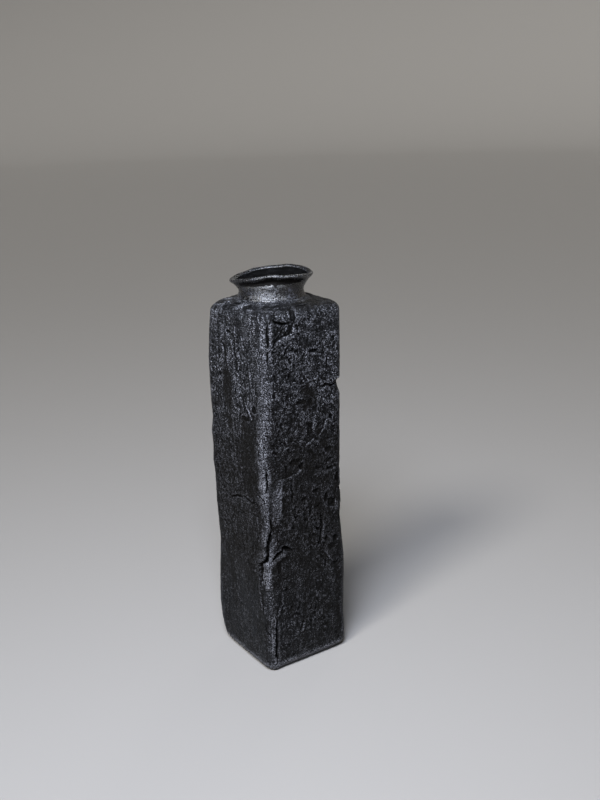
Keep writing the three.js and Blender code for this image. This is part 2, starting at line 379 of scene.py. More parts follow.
# Front wall, upper part: pits with bright lower edges, a chipped right arris, a torn flake.
pit(30.4, 173.6, 3.4, 1.0, 0.8)
lip([(29.5, 171.6), (32.5, 171.6), (35.5, 170.6)], 0.6, 0.35)
pit(22.5, 148.0, 3.4, 1.5, 0.6)
pit(28.5, 147.0, 1.8, 2.0, 0.45)
pit(43.5, 178.5, 1.6, 1.0, 0.5)
pit(39.0, 166.0, 0.8, 3.6, 0.4)
notch = smooth(156.2, 154.4, HEIGHT) * smooth(146.5, 153.5, HEIGHT)
notch = notch * np.exp(-(around(RUN, FACE) / 4.2) ** 2)
relief = relief - 2.5 * notch
crack([(46.5, 153.6), (42, 153.2), (38, 154.2), (34.5, 153.8)], 0.8, 0.9)
flake([(38.5, 140.5), (38.0, 136), (36.6, 131.5), (33.5, 128.4), (29.5, 127.0), (25.0, 124.6),
       (23.6, 121)], 0.7, 2.6)
pit(41.5, 136.5, 1.6, 1.4, 0.9)
pit(27.5, 132.5, 2.4, 4.6, 0.65)
pit(17.5, 116.8, 3.6, 2.4, 0.7)
pit(21.5, 114.0, 1.8, 2.0, 0.8)
pit(12.0, 114.0, 1.0, 3.0, 0.5)
flake([(24.0, 117), (22.5, 113.4), (19.0, 110.6), (14, 109.6), (7, 109.4)], 0.55, 2.2)
pit(39.5, 119.0, 2.8, 2.2, 0.6)
pit(40.0, 108.2, 2.4, 0.8, 0.8)
lip([(44.5, 107.8), (41, 106.6), (38, 107.2)], 0.6, 0.4)

# Front wall, middle: a smooth sliced facet, long tears near the right arris, chips out of it.
loose = RUN + 2.0 * ragged + 1.2 * lumps(SURFACE, 5, 32)
facet = smooth(0.2, 2.4, loose) * smooth(10.2, 7.6, loose + 0.07 * (100 - HEIGHT))
facet = facet * smooth(82.5, 92, HEIGHT - 0.2 * np.abs(RUN - 5.5) ** 1.3) * smooth(115, 100, HEIGHT)
facet = facet * (np.abs(around(RUN, 5)) < 12)
relief = relief * (1 - 0.55 * facet) + (0.11 * np.clip(RUN, 0, 9) - 0.45) * facet
ARRIS_WEAR_AND_HIGHLIGHT = np.maximum(ARRIS_WEAR_AND_HIGHLIGHT, 0.8 * facet)
crack([(1.4, 89.5), (2.1, 85.6), (3.0, 82.0)], 0.75, 1.0)
crack([(14.9, 108), (14.9, 102), (15.9, 99.2), (14.4, 96)], 0.6, 0.9)
crack([(33.4, 84.5), (33.9, 80.5), (34.4, 78), (31.9, 75.6), (29.4, 77.6)], 1.0, 1.7)
crack([(35.1, 77.4), (33.3, 73.5), (32.9, 69.2), (30.8, 65.4)], 0.95, 1.6)
pit(37.6, 92.5, 1.6, 3.2, 1.1)
pit(26.8, 87.4, 1.0, 2.4, 0.9)
pit(43.0, 67.0, 2.0, 2.6, 1.1)
pit(37.2, 69.0, 1.5, 2.0, 0.9)
pit(30.4, 98.0, 2.2, 1.4, 0.8)
flake([(46.5, 98), (43.6, 92), (43.8, 85.5), (41.5, 80)], 0.6, 2.2)
lip([(36.2, 78), (35.0, 73.4), (34.4, 69.4)], 0.8, 0.5)
pit(41.2, 88.6, 3.6, 3.4, 0.9)
pit(40.5, 63.4, 3.4, 2.2, 0.6)
pit(23.8, 83.2, 1.5, 1.3, 0.6)
pit(22.5, 95.0, 2.0, 1.2, 0.6)
pit(46.0, 102.0, 2.2, 3.2, 1.0)
flake([(36, 62), (39, 56), (43, 53.5), (45.5, 57)], 0.5, 2.0)
chipped = smooth(0.25, 0.75, lumps(SURFACE, 4.2, 36) + 1.2 * ragged + 0.15)
chipped = chipped * np.exp(-(around(RUN, FACE + 0.5) / 3.4) ** 2)
chipped = chipped * smooth(72, 78, HEIGHT) * smooth(109, 103, HEIGHT)
relief = relief - 1.3 * chipped

# The great crack: it opens the mitre, forks to the right and leaves a thick pale lip below.
crack([(1.2, 81.5), (0.5, 76.2), (-0.5, 72.2), (-0.5, 68.2), (-1.4, 66.2), (-3.6, 64.0)],
      1.5, 2.8, 0.07)
crack([(-2.6, 65.4), (-4.6, 62.4), (-5.3, 59.0), (-5.0, 55.5), (-5.6, 52.5)], 1.9, 2.8, 0.12)
crack([(1.6, 64.9), (4.1, 67.6), (5.6, 68.8), (8.1, 69.9), (9.6, 71.6), (11.1, 70.5), (14.6, 68.7)],
      1.1, 2.0)
lip([(-2.6, 63.4), (1.0, 63.9), (4.6, 65.6), (8.4, 67.4), (11.4, 68.6)], 1.5, 0.95)
lip([(-0.4, 64), (0.0, 58), (0.2, 48)], 2.1, 0.75)
pit(6.2, 60.0, 1.6, 3.4, 0.6)
pit(4.0, 73.5, 2.4, 2.4, -0.55)

# Front wall, lower part: calmer clay with a cracked arris and a few chips.
lip([(7.4, 47), (7.8, 42), (7.5, 39.2), (5.5, 35.2), (4.3, 31.2)], 0.7, 0.5)
crack([(3.9, 31), (3.7, 23), (3.6, 17.5), (3.4, 6.2)], 0.95, 1.9, 0.1)
lip([(5.2, 30), (5.3, 24), (5.0, 16), (4.8, 9)], 0.8, 0.35)
crack([(-2.9, 29), (-2.4, 24.2), (-0.1, 22.8), (1.0, 20)], 0.45, 0.7)
crack([(18.0, 19.0), (19.6, 21.4), (20.8, 24)], 0.6, 0.6)
lip([(19.2, 18.4), (20.8, 20.8), (22.0, 24)], 0.7, 0.45)
for run, up in ((27.1, 24.2), (35.6, 35.2), (23.4, 19.5), (35.4, 16.2), (9.0, 36.2)):
    pit(run, up, 1.5, 1.1, -0.45)
dent = smooth(3.2, 0.4, np.abs(RUN - 43.6 + 2.5 * lumps(SURFACE, 9, 33)))
relief = relief - 0.3 * dent * smooth(62, 50, HEIGHT) * smooth(4, 12, HEIGHT)

# Left wall: bark furrows above, a broken level crack, smooth clay below with faint streaks.
crack([(0.4, 115.4), (-0.1, 112.2), (0.4, 110.2), (0.1, 106.2), (-0.8, 103.2)], 0.6, 1.3)
crack([(-5.6, 101), (-2.4, 100), (-1.2, 98.2)], 0.75, 1.2)
crack([(-33.0, 93.8), (-30.6, 93.2), (-26.6, 95.0), (-23.9, 95.5), (-20.4, 96.2)], 0.6, 0.9)
crack([(-20.0, 96.8), (-16.5, 96.2), (-12.9, 95.0), (-10.1, 95.8), (-9.0, 97.2)], 0.55, 0.8)
crack([(-44, 79), (-40.5, 76.6), (-37, 75.4)], 0.8, 0.6)
lip([(-14.5, 148.5), (-11.5, 144.5), (-8.4, 140.4)], 0.55, 0.65)
pit(-8.0, 146.8, 2.2, 2.6, 0.6)
pit(-15.5, 140.5, 4.0, 1.6, 0.5)
pit(-27.6, 184.2, 2.2, 1.0, 0.55)
pit(-36.5, 160.5, 1.6, 1.2, 0.5)
for run, up in ((-15.0, 184), (-21.0, 186), (-24.0, 181), (-32.0, 178), (-28.0, 171), (-9.0, 168)):
    lip([(run - 1.8, up), (run - 0.6, up - 4), (run + 0.4, up - 9)], 0.5, 0.4)
lip([(-13.9, 57.4), (-10, 56.6), (-5.9, 55.3)], 0.5, 0.4)
for run, up, size in (
    (-6.6, 38, 1.0), (-8.6, 47.5, 0.9), (-4.1, 36.6, 0.8), (-7.4, 43, 0.7), (-5.4, 51, 0.9),
):
    pit(run, up, size, size * 1.6, 0.6)
    lip([(run + 1.1, up + 3), (run + 1.3, up - 3)], 0.55, 0.35)
ridge = np.exp(-((around(RUN, -6.3) / 1.1) ** 2))
relief = relief + 0.4 * ridge * smooth(34, 42, HEIGHT) * smooth(70, 60, HEIGHT)

# Right and back walls: made the same way, so they get tears and cracks of their own.
rng = np.random.default_rng(52)
TEARS, PITS = 11, 9  # on each of the two walls
for wall in (1, 2):
    for _ in range(TEARS):
        run = FACE * (wall + rng.uniform(0.12, 0.88))
        up = rng.uniform(30, 180)
        lean = rng.uniform(-0.5, 0.5)
        path = [(run, up)]
        for _ in range(4):
            run += rng.normal(lean * 2, 1.2)
            up -= rng.uniform(1.5, 4.5)
            path.append((run, up))
        kind = rng.integers(3)
        if kind == 0:
            crack(path, rng.uniform(0.5, 0.85), rng.uniform(0.7, 1.3))
        elif kind == 1:
            flake(path, rng.uniform(0.4, 0.7), rng.uniform(1.8, 3))
        else:
            lip(path, rng.uniform(0.5, 0.9), rng.uniform(0.35, 0.6))
    for _ in range(PITS):
        pit(FACE * (wall + rng.uniform(0.1, 0.9)), rng.uniform(20, 185),
            rng.uniform(1.2, 3.2), rng.uniform(1, 2.6), rng.uniform(0.4, 0.9))
# The arris between them opened in two places.
FAR = 2.0 * FACE
crack([(FAR + 0.6, 132), (FAR - 0.6, 124), (FAR + 0.9, 117), (FAR - 0.4, 108)], 0.9, 1.8)
lip([(FAR + 2.4, 130), (FAR + 2.6, 120), (FAR + 1.8, 112)], 1.2, 0.6)
crack([(FAR - 0.3, 52), (FAR + 0.5, 38), (FAR - 0.6, 24)], 0.6, 1.2)

# Iron in the clay burnt browner in a few soft patches.
blurred = 0.5 * lumps(SURFACE, 7, 13) + 0.35 * lumps(SURFACE, 3, 38) + 0.6 * ragged
for run, up, wide, tall in (
    (-13, 120, 9, 26), (-10, 126, 5, 16), (-30, 150, 4, 20), (17, 115, 6, 8), (27, 112, 12, 9),
    (36, 127, 6, 9), (28, 150, 7, 9), (-26, 68, 10, 8), (34, 84, 8, 12), (46, 95, 4, 16),
    (2.5 * FACE, 90, 14, 26), (1.4 * FACE, 120, 12, 20),
):
    away = np.hypot(around(RUN, run) / wide, (HEIGHT - up) / tall)
    burnt_and_shade = np.maximum(burnt_and_shade, 0.86 * smooth(1.3, 0.45, away + blurred))
# Painted shade: the lower half is painted darker and browner than the top.
burnt_and_shade = np.maximum(burnt_and_shade, 0.72 * smooth(168, 105, HEIGHT + 8 * lumps(SURFACE, 20, 37)))
ARRIS_WEAR_AND_HIGHLIGHT = np.maximum(ARRIS_WEAR_AND_HIGHLIGHT, EDGES)
burnt_and_shade = burnt_and_shade * (1 - 0.75 * ARRIS_WEAR_AND_HIGHLIGHT)
# Painted reflection: over the lower third, mostly on the scraped walls, a cool grey sheen is painted in
# upright streaks, and the painted shade is weaker there.
lower_sheen = smooth(62, 34, HEIGHT + 5 * lumps(SURFACE, 12, 14))
sheen_streaks = smooth(-0.5, 0.5, crumbled(SURFACE, 4.5, 41, (1, 1, 7)))
painted_sheen = lower_sheen * (0.15 + 0.35 * sheen_streaks) * (scraped_face + 0.3 * torn_face)
burnt_and_shade = burnt_and_shade * (1 - 0.35 * lower_sheen * sheen_streaks)

hollow = hollows(relief)
FIELDS = {"hollow": hollow, "arris": ARRIS_WEAR_AND_HIGHLIGHT, "burnt_and_shade": burnt_and_shade, "painted_sheen": painted_sheen}
outside = body_points(0, len(heights), relief)

rim = body_points(0, floor_row + 1, relief)
inward = np.linspace(0.04, 1, 62, endpoint=False)[:, None, None]
upward = np.array([0, 0, 1])
under = rim[0] * inward
# The wire left shallow scallops as it was pulled through under the slab.
scallops = 0.16 * lumps(under * [1, 0.12, 1], 1.4, 20) + 0.10 * lumps(under, 5, 21)
under = under + upward * (np.abs(scallops) * smooth(1, 0.9, inward[..., 0]))[..., None]
over = rim[-1] * np.linspace(0.97, 0.1, 12)[:, None, None]
over[..., 2] = FLOOR_SEAM
loops = np.concatenate([under, rim, over])
marks = {}
for mark, field in FIELDS.items():
    below, above = np.zeros((len(under), len(runs))), np.zeros((len(over), len(runs)))
    marks[mark] = np.concatenate([below, field[: floor_row + 1], above])
floor_slab = clay_piece("floor_slab_rubbed", loops, marks=marks)
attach(floor_slab, "root")
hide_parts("floor_slab")


def from_hex(code):
    """An sRGB hex colour as the linear colour that Blender works in."""
    values = [int(code[i:i + 2], 16) / 255 for i in (1, 3, 5)]
    return [v / 12.92 if v <= 0.04045 else ((v + 0.055) / 1.055) ** 2.4 for v in values] + [1]


def add(tree, kind, links=None, **settings):
    """A node with its settings, and its inputs linked or set by name."""
    node = tree.nodes.new(kind)
    for key, value in settings.items():
        setattr(node, key, value)
    for key, value in (links or {}).items():
        if isinstance(value, bpy.types.NodeSocket):
            tree.links.new(value, node.inputs[key])
        else:
            node.inputs[key].default_value = value
    return node


# Sizes in the clay: its grog stones, the cloudy patches of the fire, and the drag marks.
STONE, CLOUD, STREAK = 0.7, 6, 1.3


def stoneware(name, dark, light, roughness, grog, sheen=0.35, grain=0.62, streaks=0.0):
    """Unglazed black stoneware. dark and light are the colours in its hollows and of its pale
    grit, grog is how far the grit stands out and grain how coarse it is, both in mm. sheen is how
    strongly its skin glints, and streaks how deep the upright drag marks are."""
    material = bpy.data.materials.new(name)
    material.use_nodes = True
    tree = material.node_tree
    tree.nodes.clear()
    place = add(tree, "ShaderNodeTexCoord").outputs["Object"]
    hollow, arris, burnt_and_shade, painted_sheen = (
        add(tree, "ShaderNodeAttribute", attribute_name=mark).outputs["Fac"]
        for mark in ("hollow", "arris", "burnt_and_shade", "painted_sheen")
    )
    sand = add(tree, "ShaderNodeTexNoise", {
        "Vector": place, "Scale": 1 / (grain * MM), "Detail": 3, "Roughness": 0.6,
    }).outputs["Fac"]
    cloud = add(tree, "ShaderNodeTexNoise", {
        "Vector": place, "Scale": 1 / (CLOUD * MM), "Detail": 6, "Roughness": 0.7,
    }).outputs["Fac"]
    grains = add(tree, "ShaderNodeTexVoronoi", {"Vector": place, "Scale": 1 / (STONE * MM)})
    body = add(tree, "ShaderNodeMapRange", {
        "Value": grains.outputs["Distance"], "From Min": 0.5, "From Max": 0.1,
    }, interpolation_type="SMOOTHSTEP").outputs["Result"]
    chosen = add(tree, "ShaderNodeMapRange", {
        "Value": add(tree, "ShaderNodeSeparateColor", {"Color": grains.outputs["Color"]}).outputs[0],
        "From Min": 0.55, "From Max": 0.95,
    }).outputs["Result"]
    stone = add(tree, "ShaderNodeMath", {0: body, 1: chosen}, operation="MULTIPLY").outputs[0]

    worn_and_shaded = add(tree, "ShaderNodeMapRange", {
        "Value": hollow, "From Min": 0.75, "From Max": -0.6, "To Min": 0.0, "To Max": 1.5,
    }, interpolation_type="SMOOTHSTEP").outputs["Result"]
    sanded = add(tree, "ShaderNodeMapRange", {
        "Value": sand, "From Min": 0.42, "From Max": 0.64, "To Max": 0.8,
    }).outputs["Result"]
    clouded = add(tree, "ShaderNodeMapRange", {
        "Value": cloud, "From Min": 0.36, "From Max": 0.64, "To Min": 0.55, "To Max": 1.1,
    }).outputs["Result"]
    # The pale grit, dimmed by the fire's clouds, painted dark in the hollows as painted shade and paler
    # on the rubbed crests, then the rubbed edges with their painted highlight.
    tone = add(tree, "ShaderNodeMath", {0: stone, 1: 1.5, 2: sanded}, operation="MULTIPLY_ADD")
    tone = add(tree, "ShaderNodeMath", {0: tone.outputs[0], 1: clouded}, operation="MULTIPLY")
    tone = add(tree, "ShaderNodeMath", {0: tone.outputs[0], 1: worn_and_shaded}, operation="MULTIPLY")
    tone = add(tree, "ShaderNodeMath", {0: tone.outputs[0], 1: 2.3}, operation="POWER", use_clamp=True)
    # Painted highlight: on the marked arrises and edges the tone is raised along with the grit.
    shine = add(tree, "ShaderNodeMath", {0: sanded, 1: 0.42, 2: 0.01}, operation="MULTIPLY_ADD")
    rubbed_and_highlit = add(tree, "ShaderNodeMath", {0: arris, 1: worn_and_shaded}, operation="MULTIPLY")
    tone = add(tree, "ShaderNodeMath", {
        0: shine.outputs[0], 1: rubbed_and_highlit.outputs[0], 2: tone.outputs[0],
    }, operation="MULTIPLY_ADD", use_clamp=True)

    clay = tone.outputs[0]
    for factor, under, over in (
        (clay, from_hex(dark), from_hex(light)),
        # brown-black, for the fire's patches and for the painted shade
        (burnt_and_shade, None, from_hex("#090705")),
        # painted reflection: a cool grey sheen laid over the clay
        (painted_sheen, None, from_hex("#16181b")),
    ):
        mix = add(tree, "ShaderNodeMix", data_type="RGBA")
        tree.links.new(factor, mix.inputs[0])
        if under:
            mix.inputs[6].default_value = under
        else:
            tree.links.new(clay, mix.inputs[6])
        mix.inputs[7].default_value = over
        clay = mix.outputs[2]

    dull = add(tree, "ShaderNodeMapRange", {
        "Value": sand, "From Min": 0.3, "From Max": 0.7,
        "To Min": roughness - 0.12, "To Max": roughness + 0.14,
    }).outputs["Result"]
    for mark, change in ((arris, -0.14), (burnt_and_shade, 0.08)):
        dull = add(tree, "ShaderNodeMath", {0: mark, 1: change, 2: dull}, operation="MULTIPLY_ADD")
        dull = dull.outputs[0]

    rise = add(tree, "ShaderNodeMath", {0: body, 1: 0.3, 2: sand}, operation="MULTIPLY_ADD").outputs[0]
    if streaks:
        drawn = add(tree, "ShaderNodeMapping", {"Vector": place, "Scale": (1, 1, 0.12)}).outputs[0]
        streak = add(tree, "ShaderNodeTexNoise", {
            "Vector": drawn, "Scale": 1 / (STREAK * MM), "Detail": 3,
        }).outputs["Fac"]
        rise = add(tree, "ShaderNodeMath", {0: streak, 1: streaks, 2: rise}, operation="MULTIPLY_ADD")
        rise = rise.outputs[0]
    bump = add(tree, "ShaderNodeBump", {"Height": rise, "Strength": 1.0, "Distance": grog * MM})
    surface = add(tree, "ShaderNodeBsdfPrincipled", {
        "Base Color": clay, "Roughness": dull, "Normal": bump.outputs["Normal"],
        "IOR": 1.5, "Specular IOR Level": sheen,
    })
    add(tree, "ShaderNodeOutputMaterial", {"Surface": surface.outputs["BSDF"]})
    return material


# Torn and scraped black stoneware: matt black in its pits, which are also painted dark as shade, with
# pale grit where it was rubbed.
wall_clay = stoneware("black_stoneware_torn", "#010101", "#97989f", 0.46, 1.0, 0.1, streaks=0.55)
# Black stoneware as the wire left it: dry, open and a little brown.
raw_clay = stoneware("black_stoneware_wire_cut", "#0a0908", "#4c4a48", 0.7, 0.4, 0.15)
floor_slab.data.materials.append(wall_clay)
floor_slab.data.materials.append(raw_clay)
is_under = np.zeros(len(floor_slab.data.polygons), np.int32)
is_under[: (len(under) - 1) * len(runs)] = 1
floor_slab.data.polygons.foreach_set("material_index", is_under)

WALLS = ("front", "right", "back", "left")
for wall, side in enumerate(WALLS):
    columns = np.arange(wall * FACE_COLUMNS, (wall + 1) * FACE_COLUMNS + 1) % len(runs)
    rows = slice(floor_row, shoulder_row + 1)
    skin = outside[rows][:, columns]
    up = heights[rows]
    quarter = wall * math.pi / 2
    reach = np.linspace(1, -1, 13) * (SIDE / 2 - SLAB)
    inner_x, inner_up = np.meshgrid(reach, up)
    rolled = np.stack([inner_x, np.full_like(inner_x, SLAB - SIDE / 2), inner_up], axis=-1)
    rolled[..., 1] += 0.25 * lumps(rolled + 90 * wall, 14, 15) * (1 - (inner_x / reach[0]) ** 2)
    cos, sin = math.cos(quarter), math.sin(quarter)
    rolled = rolled @ np.array([[cos, sin, 0], [-sin, cos, 0], [0, 0, 1]])
    rolled = twisted(rolled)
    loops = np.concatenate([skin, rolled], axis=1)
    marks = {}
    for mark, field in FIELDS.items():
        inside = np.zeros(rolled.shape[:2])
        marks[mark] = np.concatenate([field[rows][:, columns], inside], axis=1)
    piece = clay_piece(f"wall_{side}_torn", loops, marks=marks)
    piece.data.materials.append(wall_clay)
    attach(piece, "root")
    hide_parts(f"wall_{side}")

# ---- Seam coils inside ---------------------------------------------------------------------
# Thin rolls of soft clay pressed with a thumb into each inside corner, and around the floor and
# shoulder seams, to close the joints. Each thumb press left a shallow dip.

COIL = 4.5  # width of a coil once it was pressed in
THUMB = 13.0  # from one thumb press to the next
SLIP = 0.1  # between a coil and the walls
SEAT = SIDE / 2 - SLAB - SLIP
coil_clay = stoneware("black_stoneware_pressed", "#060505", "#2b2a28", 0.75, 0.3, 0.1)
coil_names = ("front_right", "back_right", "back_left", "front_left")
coil_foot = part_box("coil_floor")[1].z / MM
coil_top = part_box("coil_shoulder")[0].z / MM


def pressed(distance):
    """How deep the thumb marks are along a coil."""
    return 0.55 * np.abs(np.sin(math.pi * distance / THUMB))


for corner, name in enumerate(coil_names):
    up = np.linspace(coil_foot, coil_top, 180)[:, None]
    sweep = np.linspace(0, math.pi / 2, 14)[None, :]
    fat = COIL - 0.5 + pressed(up) + 0.2 * np.sin(up * 0.9 + corner)
    x = SEAT - fat * (1 - np.sin(sweep))
    y = -(SEAT - fat * (1 - np.cos(sweep)))
    back_x = np.full_like(up, SEAT)
    x = np.concatenate([x[:, ::-1], back_x], axis=1)
    y = np.concatenate([y[:, ::-1], -back_x], axis=1)
    loops = np.stack([x, y, np.broadcast_to(up, x.shape)], axis=-1)[:, ::-1]
    quarter = corner * math.pi / 2
    cos, sin = math.cos(quarter), math.sin(quarter)
    loops = twisted(loops @ np.array([[cos, sin, 0], [-sin, cos, 0], [0, 0, 1]]))
    coil = clay_piece(f"coil_{name}_pressed", loops)
    coil.data.materials.append(coil_clay)
    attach(coil, "root")
    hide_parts(f"coil_{name}")

for name, high in (("coil_floor", False), ("coil_shoulder", True)):
    low, top = (corner.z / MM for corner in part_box(name))
    run = np.linspace(0, 4 * FACE, 360, endpoint=False)
    x, y = body_outline(run, -SLAB - SLIP)
    scale = SEAT / np.abs(x).max()
    edge = np.stack([x * scale, y * scale, np.zeros_like(x)], axis=-1)
    sweep = np.linspace(0, math.pi / 2, 9)
    loops = []
    for angle in sweep:
        inset = (COIL - 0.6 + pressed(run)) * (1 - math.sin(angle))
        level = (top - low) * (1 - math.cos(angle))
        loop = edge * (1 - inset / SEAT)[:, None]
        loop[:, 2] = top - level if high else low + level
        loops.append(loop)
    loops.append(edge + [0, 0, top if high else low])
    loops = twisted(np.array(loops if high else loops[::-1]))
    coil = clay_piece(f"{name}_pressed", loops, ring=True)
    coil.data.materials.append(coil_clay)
    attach(coil, "root")
    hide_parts(name)

# ---- Shoulder slab -------------------------------------------------------------------------
# A square plate of the same clay that closes the body, worked over its edge with a wet sponge
# so that the fine grit stands out. It rises to a low seat for the neck, around a round hole.

THROAT = 13.7  # inside radius of the neck
NECK_FOOT = 16.9  # outside radius of the neck at its foot
SEAT_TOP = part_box("coil_neck")[0].z / MM
# How far in the edge was rounded over, and how much less or more at each corner.
over_round = 5.0
for corner, change in enumerate((-2.3, 0.6, 0.5, 2.4)):
    over_round = over_round + change * np.exp(-(around(runs, corner * FACE) / 9) ** 2)
band_top = np.maximum(CROWN - 0.4 - over_round, SHOULDER_SEAM)
band_steps = np.linspace(0, 1, 9)[:, None]
band_up = SHOULDER_SEAM + (band_top - SHOULDER_SEAM) * band_steps
column = np.arange(len(runs))
level = np.interp(band_up.ravel(), heights, np.arange(len(heights))).reshape(band_up.shape)
lower = np.floor(level).astype(int).clip(0, len(heights) - 2)
band_out = relief[lower, column] * (1 - level + lower) + relief[lower + 1, column] * (level - lower)
x, y = body_outline(np.broadcast_to(runs, band_up.shape), band_out)
band = np.stack([x, y, band_up], axis=-1)
edge = band[-1]
hole = edge / np.hypot(edge[:, 0], edge[:, 1])[:, None] * THROAT
hole[:, 2] = 0
span = np.hypot(*(edge - hole)[:, :2].T)
inset = span * np.linspace(0, 1, 58)[1:, None] ** 1.15
share = (inset / span)[..., None]
top_face = edge * (1 - share) + hole * share
rounding = np.clip(1 - inset / (over_round * 1.25), 0, 1)
rise = (CROWN - band_top) * np.sqrt(1 - rounding**2)
radius = np.hypot(top_face[..., 0], top_face[..., 1])
seat = (SEAT_TOP - CROWN + 0.3) * smooth(27, 19, radius)
top_face[..., 2] = band_top + rise + seat
sponge = 0.24 * lumps(top_face, 7, 16) + 0.22 * lumps(top_face, 3, 17) + 0.14 * lumps(top_face, 1.2, 18)
top_face[..., 2] += sponge * smooth(THROAT, THROAT + 6, radius) * smooth(0, 4, inset)
drop = np.linspace(0, 1, 7)[1:, None, None]
hole_top = top_face[-1]
hole_up = hole_top[:, 2:] + (SHOULDER_SEAM - hole_top[:, 2:]) * drop
hole_wall = hole_top * np.array([1, 1, 0]) + hole_up * upward
back_out = np.linspace(0, 1, 6)[1:-1, None, None]
underside = hole_wall[-1] * (1 - back_out) + band[0] * back_out
loops = twisted(np.concatenate([band, top_face, hole_wall, underside]))
band_hollow = hollow[lower, column]
fade = smooth(3, 0, inset)  # over this last strip the top takes on the marks of the walls
dips = np.clip(-sponge / 0.25, -1, 1)
rest = np.zeros((len(hole_wall) + len(underside), len(runs)))
# Painted shadow: to the right of the neck, where the neck shades the top, it is painted darker.
shaded = smooth(0, 16, 0.8 * top_face[..., 0] - 0.6 * top_face[..., 1] + 12 * sponge)
marks = {
    "hollow": np.concatenate([band_hollow, band_hollow[-1] * fade + dips * (1 - fade) * 0.6, rest]),
    "burnt_and_shade": np.concatenate([burnt_and_shade[lower, column], 0.88 * shaded * (1 - fade), rest]),
    "arris": np.concatenate([ARRIS_WEAR_AND_HIGHLIGHT[lower, column], ARRIS_WEAR_AND_HIGHLIGHT[lower, column][-1] * fade, rest]),
}
shoulder = clay_piece("shoulder_slab_sponged", loops, ring=True, marks=marks)
# Sponged black stoneware: the slip is washed off and pale grit shows as fine bright specks.
shoulder_clay = stoneware("black_stoneware_sponged", "#010102", "#9a9ca3", 0.44, 1.0, 0.14, 0.65)
shoulder.data.materials.append(shoulder_clay)
shoulder.data.materials.append(wall_clay)
on_band = np.zeros(len(shoulder.data.polygons), np.int32)
on_band[: (len(band) - 1) * len(runs)] = 1
shoulder.data.polygons.foreach_set("material_index", on_band)
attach(shoulder, "root")
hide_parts("shoulder_slab")

# ---- Neck collar and the coil at its foot --------------------------------------------------
# A short collar thrown on the wheel: a waist, then a flare that was folded over at the lip and
# pulled a little square. A coil was smoothed into the corner around its foot.

COLLAR_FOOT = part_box("neck_collar")[0].z / MM
LIP = 210.9  # height of the lip before it sways
TOWARDS_RIGHT = math.radians(-36)  # the mouth's right, seen from the front left arris
AROUND = 420  # points around the neck
turn = np.arange(AROUND) * 2 * math.pi / AROUND
spread = turn - TOWARDS_RIGHT

# The collar's section from its foot up the outside, over the lip and down the throat.
SECTION = [
    (NECK_FOOT + 1.3, COLLAR_FOOT), (17.7, 198.9), (17.0, 200.6), (16.6, 202.0), (16.7, 203.4),
    (17.4, 205.0), (18.3, 206.5), (19.3, 207.8), (20.2, 208.7), (20.9, 209.3), (21.2, 209.9),
    (21.0, 210.6), (20.4, LIP), (19.5, 210.8), (18.4, 210.0), (17.0, 208.4), (15.6, 206.6),
    (14.6, 204.8), (14.0, 203.0), (13.8, 200.8), (THROAT, COLLAR_FOOT),
]
section = np.array(SECTION)
walked = np.concatenate([[0], np.cumsum(np.hypot(*np.diff(section, axis=0).T))])
ticks = np.linspace(0, walked[-1], 118)
# Painted shade: from just under the lip down, the throat gets the near-black throat material.
THROAT_FROM = np.interp(209.9, section[::-1, 1][:8], walked[::-1][:8])  # below this it is black


def eased(values):
    """The section's points joined by a smooth curve instead of straight lines."""
    straight = np.interp(ticks, walked, values)
    soft = np.convolve(np.pad(straight, 3, mode="edge"), np.ones(7) / 7, mode="valid")
    soft[[0, -1]] = straight[[0, -1]]
    return soft


reach = eased(section[:, 0])[:, None] * np.ones(AROUND)
up = eased(section[:, 1])[:, None] * np.ones(AROUND)
flare = smooth(COLLAR_FOOT + 3, LIP, up)
# The mouth was pulled out of round: how far out and how high it goes, each eighth of a turn from
# its right-hand side towards the back.
PULLED_OUT = [0.9, -0.3, -2.0, -2.4, 0.6, -2.2, -3.0, -1.0]
PULLED_UP = [-0.1, 1.7, 0.9, -0.4, -2.7, -0.3, 2.1, 1.3]


def around_mouth(values):
    """The eight values joined by an even curve around the mouth."""
    share = (spread / (2 * math.pi) * 8) % 8
    values = np.array(values + values[:1], float)
    straight = np.interp(share, np.arange(9), values)
    width = AROUND // 12
    kernel = np.ones(width) / width
    return np.convolve(np.concatenate([straight[-width:], straight, straight[:width]]),
                       kernel, mode="same")[width:-width]


def turned_from(centre):
    """How far around the mouth every point is from the angle `centre`, the short way."""
    return (spread - centre + math.pi) % (2 * math.pi) - math.pi


reach = reach + flare * around_mouth(PULLED_OUT)
sway = around_mouth(PULLED_UP) + 0.10 * np.sin(7 * spread) + 0.07 * np.sin(12 * spread + 1)
# Under the lip at the front it was tucked in, and a flap of clay folded over at the front right.
outside_part = (np.arange(len(ticks)) < np.argmax(eased(section[:, 1])))[:, None]
front = np.exp(-(turned_from(1.5 * math.pi) / 0.95) ** 2)
tuck = outside_part * front * np.exp(-((up - 207.4) / 1.6) ** 2)
reach = reach - 1.0 * tuck
flap = np.exp(-(turned_from(1.76 * math.pi) / 0.26) ** 2)
reach = reach + outside_part * flap * 0.9 * np.exp(-((up - 209.6) / 1.3) ** 2)
under_flap = outside_part * flap * np.exp(-((up - 207.2) / 1.1) ** 2)
reach = reach - 0.8 * under_flap
x, y = reach * np.cos(turn), reach * np.sin(turn)
loops = np.stack([x, y, up + flare * sway], axis=-1)
outwards = np.stack([np.cos(turn), np.sin(turn), np.zeros(AROUND)], axis=-1)
rings = 0.05 * np.sin(up * 4.2) * smooth(0, 1, flare)  # left by the fingers on the wheel
skin = 0.14 * lumps(loops, 6, 22) + 0.05 * lumps(loops, 2.2, 23) + 0.05 * lumps(loops, 0.9, 24)
skin = skin + rings
loops = loops + outwards * skin[..., None]
under = np.linspace(0, 1, 5)[1:-1, None, None]
loops = np.concatenate([loops, loops[-1] * (1 - under) + loops[0] * under])
